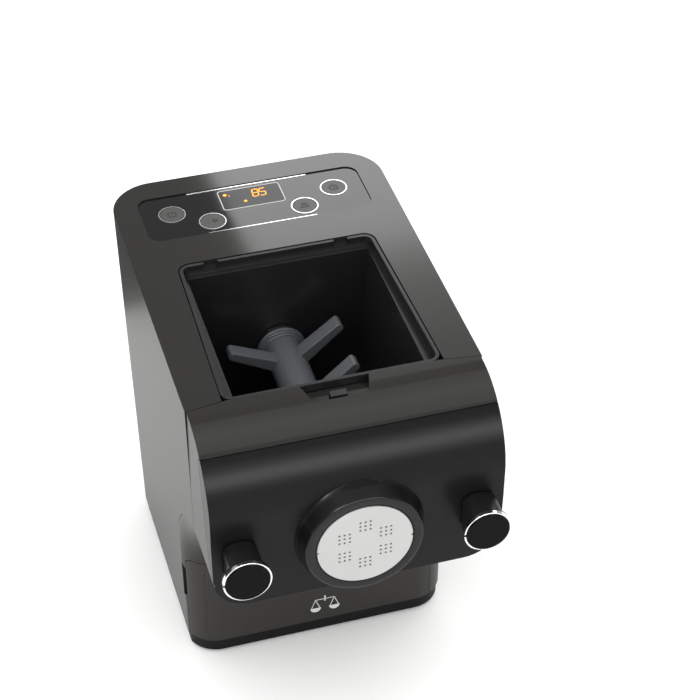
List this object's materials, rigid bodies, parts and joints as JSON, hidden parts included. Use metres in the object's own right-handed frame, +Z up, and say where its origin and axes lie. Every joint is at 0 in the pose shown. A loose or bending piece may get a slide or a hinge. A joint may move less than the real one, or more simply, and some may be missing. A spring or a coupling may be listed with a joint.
{
  "type": "electric pasta maker",
  "caption": "Countertop electric pasta maker with an open mixing chamber, turning paddle and screw, removable front panel with shaping disc and lock knobs, and a storage drawer.",
  "frame": {"origin": "on the floor under the middle of the whole", "axes": "+Z up, the front with knobs and disc faces -Y, +X to the right of someone who looks at the back"},
  "size_m": [0.215, 0.358, 0.298],
  "materials": {
    "housing_plastic": "moulded ABS, warm dark grey with a fine satin texture",
    "top_plastic": "polished dark grey ABS",
    "panel_plastic": "satin black moulded ABS",
    "base_plastic": "black moulded plastic",
    "foot_rubber": "black rubber",
    "seal_rubber": "red silicone lip seal",
    "control_acrylic": "gloss black acrylic with a thin white line",
    "display_lens": "smoked clear lens",
    "button_plastic": "silver-grey lacquered caps",
    "bright_trim": "bright plated rings",
    "chamber_plastic": "black moulded plastic",
    "paddle_plastic": "grey moulded food-safe plastic",
    "disc_plastic": "light grey satin moulded plastic",
    "knob_plastic": "dark satin moulded plastic",
    "cap_plastic": "gloss black caps",
    "steel": "machined steel",
    "motor_steel": "zinc plated motor can",
    "copper": "enamelled copper windings in a steel stack",
    "gearbox_metal": "cast aluminium plates",
    "gear_plastic": "off-white acetal",
    "frame_plastic": "grey ribbed plastic",
    "board": "green laminate with solder mask",
    "small_parts": "black plastic",
    "ribbon": "grey ribbon cable"
  },
  "bodies": {
    "housing": {"base_plate": "base_plastic", "rubber_feet": "foot_rubber", "load_cells": "steel", "main_housing": "housing_plastic", "inner_frame": "frame_plastic", "top_cover": "top_plastic", "control_panel": "control_acrylic", "display_window": "display_lens", "display_module": "small_parts", "button_rings": "bright_trim", "control_board": "board", "board_screws": "steel", "key_switches": "small_parts", "power_board": "board", "ribbon_cable": "ribbon", "cord_gland": "foot_rubber", "motor_can": "motor_steel", "motor_stator": "copper", "gearbox_plates": "gearbox_metal", "bearings": "steel", "shaft_seal": "seal_rubber", "mixing_chamber": "chamber_plastic", "front_cover": "top_plastic", "extrusion_barrel": "paddle_plastic", "plunger_spring": "steel", "lid_switch": "small_parts", "housing_screws": "steel", "drive_screws": "steel"},
    "agitator": {"mixing_paddle": "paddle_plastic", "extrusion_screw": "paddle_plastic", "output_gear": "gear_plastic"},
    "rotor": {"motor_rotor": "steel", "motor_pinion": "steel", "cooling_fan": "small_parts"},
    "layshaft": {"intermediate_gear": "gear_plastic"},
    "front": {"front_panel": "panel_plastic", "shaping_disc": "disc_plastic", "lock_clips": "steel"},
    "left_lock": {"left_knob": "knob_plastic", "left_knob_ring": "bright_trim", "left_knob_cap": "cap_plastic", "left_lock_shaft": "steel"},
    "right_lock": {"right_knob": "knob_plastic", "right_knob_ring": "bright_trim", "right_knob_cap": "cap_plastic", "right_lock_shaft": "steel"},
    "drawer": {"storage_drawer": "housing_plastic", "spare_discs": "disc_plastic"},
    "power_key": {"power_button": "button_plastic"},
    "program_key": {"program_button": "button_plastic"},
    "timer_key": {"timer_button": "button_plastic"},
    "scale_key": {"scale_button": "button_plastic"},
    "lid_key": {"lid_plunger": "small_parts"}
  },
  "joints": [
    {"name": "agitator_spin", "type": "hinge", "parent": "housing", "child": "agitator", "pos_m": [0, 0, 0.211], "axis": [0, 1, 0], "continuous": true},
    {"name": "layshaft_spin", "type": "hinge", "parent": "housing", "child": "layshaft", "pos_m": [0, 0.08, 0.1555], "axis": [0, 1, 0], "continuous": true},
    {"name": "rotor_spin", "type": "hinge", "parent": "housing", "child": "rotor", "pos_m": [0, 0.11, 0.113], "axis": [0, 1, 0], "continuous": true},
    {"name": "front_slide", "type": "slide", "parent": "housing", "child": "front", "axis": [0, -1, 0], "range_m": [0, 0.08]},
    {"name": "left_lock_turn", "type": "hinge", "parent": "front", "child": "left_lock", "pos_m": [-0.0868, -0.15, 0.2085], "axis": [0, 1, 0], "range_deg": [0, 90]},
    {"name": "right_lock_turn", "type": "hinge", "parent": "front", "child": "right_lock", "pos_m": [0.0868, -0.15, 0.2085], "axis": [0, 1, 0], "range_deg": [0, 90]},
    {"name": "drawer_slide", "type": "slide", "parent": "housing", "child": "drawer", "axis": [0, -1, 0], "range_m": [0, 0.09]},
    {"name": "power_press", "type": "slide", "parent": "housing", "child": "power_key", "axis": [0, 0, -1], "range_m": [0, 0.001], "stiffness_N_per_m": 600, "springref_m": -0.001},
    {"name": "program_press", "type": "slide", "parent": "housing", "child": "program_key", "axis": [0, 0, -1], "range_m": [0, 0.001], "stiffness_N_per_m": 600, "springref_m": -0.001},
    {"name": "timer_press", "type": "slide", "parent": "housing", "child": "timer_key", "axis": [0, 0, -1], "range_m": [0, 0.001], "stiffness_N_per_m": 600, "springref_m": -0.001},
    {"name": "scale_press", "type": "slide", "parent": "housing", "child": "scale_key", "axis": [0, 0, -1], "range_m": [0, 0.001], "stiffness_N_per_m": 600, "springref_m": -0.001},
    {"name": "lid_press", "type": "slide", "parent": "housing", "child": "lid_key", "axis": [0, 0, -1], "range_m": [0, 0.003], "stiffness_N_per_m": 250, "springref_m": -0.003, "deforming": ["plunger_spring"]}
  ],
  "couplings": [
    {"joint": "layshaft_spin", "follows": "agitator_spin", "ratio": -3.3529},
    {"joint": "rotor_spin", "follows": "agitator_spin", "ratio": 13.412}
  ]
}
